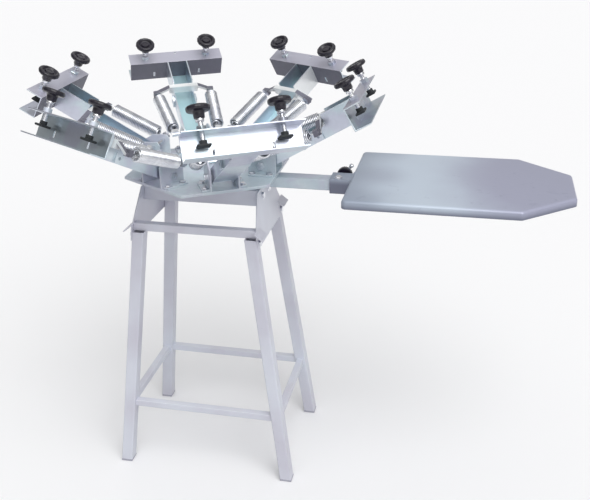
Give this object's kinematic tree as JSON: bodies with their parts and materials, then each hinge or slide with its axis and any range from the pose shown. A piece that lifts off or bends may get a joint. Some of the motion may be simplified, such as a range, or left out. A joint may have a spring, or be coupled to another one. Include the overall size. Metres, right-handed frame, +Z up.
{
  "type": "screen printing press",
  "caption": "Floor-standing carousel screen printing press: spring-lifted screen heads with clamp screws turn above a sliding tapered pallet.",
  "frame": {"origin": "on the floor, straight under the carousel's axis", "axes": "+X runs out along the station arm and pallet, +Z up, +Y completes a right-handed frame"},
  "size_m": [1.2779, 0.8464, 1.0548],
  "materials": {
    "stand_paint": "light lilac-silver paint, satin",
    "pallet_paint": "blue-grey paint, satin",
    "zinc": "bright zinc plate with a blue-green tint",
    "chrome": "polished",
    "spring_steel": "bright plated wire",
    "knob_plastic": "black moulded plastic, satin",
    "foot_rubber": "black rubber, dull",
    "cap_plastic": "grey moulded plastic"
  },
  "bodies": {
    "stand": {"legs": "stand_paint", "foot_caps": "cap_plastic", "lower_rails": "stand_paint", "upper_bars": "stand_paint", "end_plate_left": "stand_paint", "end_plate_right": "stand_paint", "saddle": "stand_paint", "stand_bolts": "chrome", "station_arm": "zinc", "spindle": "chrome", "thrust_washer": "chrome"},
    "pallet": {"pallet_board": "pallet_paint", "pallet_bracket": "pallet_paint"},
    "pallet_lock": {"pallet_lock": "chrome"},
    "carousel": {"carousel_plate": "zinc", "hinge_brackets": "zinc", "hinge_pins": "chrome", "bracket_bolts": "chrome"},
    "head_1": {"arm_1": "zinc", "clamp_1": "zinc", "springs_1": "spring_steel"},
    "foot_a_1": {"foot_a_1": "foot_rubber"},
    "screw_a_1": {"screw_a_1": "knob_plastic"},
    "foot_b_1": {"foot_b_1": "foot_rubber"},
    "screw_b_1": {"screw_b_1": "knob_plastic"},
    "head_2": {"arm_2": "zinc", "clamp_2": "zinc", "springs_2": "spring_steel"},
    "foot_a_2": {"foot_a_2": "foot_rubber"},
    "screw_a_2": {"screw_a_2": "knob_plastic"},
    "foot_b_2": {"foot_b_2": "foot_rubber"},
    "screw_b_2": {"screw_b_2": "knob_plastic"},
    "head_3": {"arm_3": "zinc", "clamp_3": "zinc", "springs_3": "spring_steel"},
    "foot_a_3": {"foot_a_3": "foot_rubber"},
    "screw_a_3": {"screw_a_3": "knob_plastic"},
    "foot_b_3": {"foot_b_3": "foot_rubber"},
    "screw_b_3": {"screw_b_3": "knob_plastic"},
    "head_4": {"arm_4": "zinc", "clamp_4": "zinc", "springs_4": "spring_steel"},
    "foot_a_4": {"foot_a_4": "foot_rubber"},
    "screw_a_4": {"screw_a_4": "knob_plastic"},
    "foot_b_4": {"foot_b_4": "foot_rubber"},
    "screw_b_4": {"screw_b_4": "knob_plastic"},
    "head_5": {"arm_5": "zinc", "clamp_5": "zinc", "springs_5": "spring_steel"},
    "foot_a_5": {"foot_a_5": "foot_rubber"},
    "screw_a_5": {"screw_a_5": "knob_plastic"},
    "foot_b_5": {"foot_b_5": "foot_rubber"},
    "screw_b_5": {"screw_b_5": "knob_plastic"},
    "head_6": {"arm_6": "zinc", "clamp_6": "zinc", "springs_6": "spring_steel"},
    "foot_a_6": {"foot_a_6": "foot_rubber"},
    "screw_a_6": {"screw_a_6": "knob_plastic"},
    "foot_b_6": {"foot_b_6": "foot_rubber"},
    "screw_b_6": {"screw_b_6": "knob_plastic"}
  },
  "joints": [
    {"name": "carousel_turn", "type": "hinge", "parent": "stand", "child": "carousel", "pos_m": [0, 0, 0.8], "axis": [0, 0, 1], "continuous": true},
    {"name": "pallet_slide", "type": "slide", "parent": "stand", "child": "pallet", "axis": [1, 0, 0], "range_m": [-0.05, 0.08]},
    {"name": "pallet_lock_turn", "type": "hinge", "parent": "pallet", "child": "pallet_lock", "pos_m": [0.331, 0.045, 0.782], "axis": [0, 1, 0], "range_deg": [-60, 0]},
    {"name": "head_lift_1", "type": "hinge", "parent": "carousel", "child": "head_1", "pos_m": [0.142, 0, 0.821], "axis": [0, -1, 0], "range_deg": [-30, 0], "stiffness_Nm_per_rad": 8, "springref_deg": 45.84, "deforming": ["springs_1"]},
    {"name": "clamp_slide_a_1", "type": "slide", "parent": "head_1", "child": "foot_a_1", "axis": [-0.5, 0, 0.866], "range_m": [-0.0085, 0.015]},
    {"name": "clamp_turn_a_1", "type": "hinge", "parent": "foot_a_1", "child": "screw_a_1", "pos_m": [0.38142, -0.083, 0.98232], "axis": [-0.5, 0, 0.866], "range_deg": [-2042.04, 3603.6]},
    {"name": "clamp_slide_b_1", "type": "slide", "parent": "head_1", "child": "foot_b_1", "axis": [-0.5, 0, 0.866], "range_m": [-0.0085, 0.015]},
    {"name": "clamp_turn_b_1", "type": "hinge", "parent": "foot_b_1", "child": "screw_b_1", "pos_m": [0.38142, 0.083, 0.98232], "axis": [-0.5, 0, 0.866], "range_deg": [-2042.04, 3603.6]},
    {"name": "head_lift_2", "type": "hinge", "parent": "carousel", "child": "head_2", "pos_m": [0.071, 0.12298, 0.821], "axis": [0.866, -0.5, 0], "range_deg": [-30, 0], "stiffness_Nm_per_rad": 8, "springref_deg": 45.84, "deforming": ["springs_2"]},
    {"name": "clamp_slide_a_2", "type": "slide", "parent": "head_2", "child": "foot_a_2", "axis": [-0.25, -0.433, 0.866], "range_m": [-0.0085, 0.015]},
    {"name": "clamp_turn_a_2", "type": "hinge", "parent": "foot_a_2", "child": "screw_a_2", "pos_m": [0.26259, 0.28881, 0.98232], "axis": [-0.25, -0.433, 0.866], "range_deg": [-2042.04, 3603.6]},
    {"name": "clamp_slide_b_2", "type": "slide", "parent": "head_2", "child": "foot_b_2", "axis": [-0.25, -0.433, 0.866], "range_m": [-0.0085, 0.015]},
    {"name": "clamp_turn_b_2", "type": "hinge", "parent": "foot_b_2", "child": "screw_b_2", "pos_m": [0.11883, 0.37182, 0.98232], "axis": [-0.25, -0.433, 0.866], "range_deg": [-2042.04, 3603.6]},
    {"name": "head_lift_3", "type": "hinge", "parent": "carousel", "child": "head_3", "pos_m": [-0.071, 0.12298, 0.821], "axis": [0.866, 0.5, 0], "range_deg": [-30, 0], "stiffness_Nm_per_rad": 8, "springref_deg": 45.84, "deforming": ["springs_3"]},
    {"name": "clamp_slide_a_3", "type": "slide", "parent": "head_3", "child": "foot_a_3", "axis": [0.25, -0.433, 0.866], "range_m": [-0.0085, 0.015]},
    {"name": "clamp_turn_a_3", "type": "hinge", "parent": "foot_a_3", "child": "screw_a_3", "pos_m": [-0.11883, 0.37182, 0.98232], "axis": [0.25, -0.433, 0.866], "range_deg": [-2042.04, 3603.6]},
    {"name": "clamp_slide_b_3", "type": "slide", "parent": "head_3", "child": "foot_b_3", "axis": [0.25, -0.433, 0.866], "range_m": [-0.0085, 0.015]},
    {"name": "clamp_turn_b_3", "type": "hinge", "parent": "foot_b_3", "child": "screw_b_3", "pos_m": [-0.26259, 0.28881, 0.98232], "axis": [0.25, -0.433, 0.866], "range_deg": [-2042.04, 3603.6]},
    {"name": "head_lift_4", "type": "hinge", "parent": "carousel", "child": "head_4", "pos_m": [-0.142, 0, 0.821], "axis": [0, 1, 0], "range_deg": [-30, 0], "stiffness_Nm_per_rad": 8, "springref_deg": 45.84, "deforming": ["springs_4"]},
    {"name": "clamp_slide_a_4", "type": "slide", "parent": "head_4", "child": "foot_a_4", "axis": [0.5, 0, 0.866], "range_m": [-0.0085, 0.015]},
    {"name": "clamp_turn_a_4", "type": "hinge", "parent": "foot_a_4", "child": "screw_a_4", "pos_m": [-0.38142, 0.083, 0.98232], "axis": [0.5, 0, 0.866], "range_deg": [-2042.04, 3603.6]},
    {"name": "clamp_slide_b_4", "type": "slide", "parent": "head_4", "child": "foot_b_4", "axis": [0.5, 0, 0.866], "range_m": [-0.0085, 0.015]},
    {"name": "clamp_turn_b_4", "type": "hinge", "parent": "foot_b_4", "child": "screw_b_4", "pos_m": [-0.38142, -0.083, 0.98232], "axis": [0.5, 0, 0.866], "range_deg": [-2042.04, 3603.6]},
    {"name": "head_lift_5", "type": "hinge", "parent": "carousel", "child": "head_5", "pos_m": [-0.071, -0.12298, 0.821], "axis": [-0.866, 0.5, 0], "range_deg": [-30, 0], "stiffness_Nm_per_rad": 8, "springref_deg": 45.84, "deforming": ["springs_5"]},
    {"name": "clamp_slide_a_5", "type": "slide", "parent": "head_5", "child": "foot_a_5", "axis": [0.25, 0.433, 0.866], "range_m": [-0.0085, 0.015]},
    {"name": "clamp_turn_a_5", "type": "hinge", "parent": "foot_a_5", "child": "screw_a_5", "pos_m": [-0.26259, -0.28881, 0.98232], "axis": [0.25, 0.433, 0.866], "range_deg": [-2042.04, 3603.6]},
    {"name": "clamp_slide_b_5", "type": "slide", "parent": "head_5", "child": "foot_b_5", "axis": [0.25, 0.433, 0.866], "range_m": [-0.0085, 0.015]},
    {"name": "clamp_turn_b_5", "type": "hinge", "parent": "foot_b_5", "child": "screw_b_5", "pos_m": [-0.11883, -0.37182, 0.98232], "axis": [0.25, 0.433, 0.866], "range_deg": [-2042.04, 3603.6]},
    {"name": "head_lift_6", "type": "hinge", "parent": "carousel", "child": "head_6", "pos_m": [0.071, -0.12298, 0.821], "axis": [-0.866, -0.5, 0], "range_deg": [-30, 0], "stiffness_Nm_per_rad": 8, "springref_deg": 45.84, "deforming": ["springs_6"]},
    {"name": "clamp_slide_a_6", "type": "slide", "parent": "head_6", "child": "foot_a_6", "axis": [-0.25, 0.433, 0.866], "range_m": [-0.0085, 0.015]},
    {"name": "clamp_turn_a_6", "type": "hinge", "parent": "foot_a_6", "child": "screw_a_6", "pos_m": [0.11883, -0.37182, 0.98232], "axis": [-0.25, 0.433, 0.866], "range_deg": [-2042.04, 3603.6]},
    {"name": "clamp_slide_b_6", "type": "slide", "parent": "head_6", "child": "foot_b_6", "axis": [-0.25, 0.433, 0.866], "range_m": [-0.0085, 0.015]},
    {"name": "clamp_turn_b_6", "type": "hinge", "parent": "foot_b_6", "child": "screw_b_6", "pos_m": [0.26259, -0.28881, 0.98232], "axis": [-0.25, 0.433, 0.866], "range_deg": [-2042.04, 3603.6]}
  ],
  "couplings": [
    {"joint": "clamp_turn_a_1", "follows": "clamp_slide_a_1", "rad_per_m": 4188.8},
    {"joint": "clamp_turn_b_1", "follows": "clamp_slide_b_1", "rad_per_m": 4188.8},
    {"joint": "clamp_turn_a_2", "follows": "clamp_slide_a_2", "rad_per_m": 4188.8},
    {"joint": "clamp_turn_b_2", "follows": "clamp_slide_b_2", "rad_per_m": 4188.8},
    {"joint": "clamp_turn_a_3", "follows": "clamp_slide_a_3", "rad_per_m": 4188.8},
    {"joint": "clamp_turn_b_3", "follows": "clamp_slide_b_3", "rad_per_m": 4188.8},
    {"joint": "clamp_turn_a_4", "follows": "clamp_slide_a_4", "rad_per_m": 4188.8},
    {"joint": "clamp_turn_b_4", "follows": "clamp_slide_b_4", "rad_per_m": 4188.8},
    {"joint": "clamp_turn_a_5", "follows": "clamp_slide_a_5", "rad_per_m": 4188.8},
    {"joint": "clamp_turn_b_5", "follows": "clamp_slide_b_5", "rad_per_m": 4188.8},
    {"joint": "clamp_turn_a_6", "follows": "clamp_slide_a_6", "rad_per_m": 4188.8},
    {"joint": "clamp_turn_b_6", "follows": "clamp_slide_b_6", "rad_per_m": 4188.8}
  ]
}
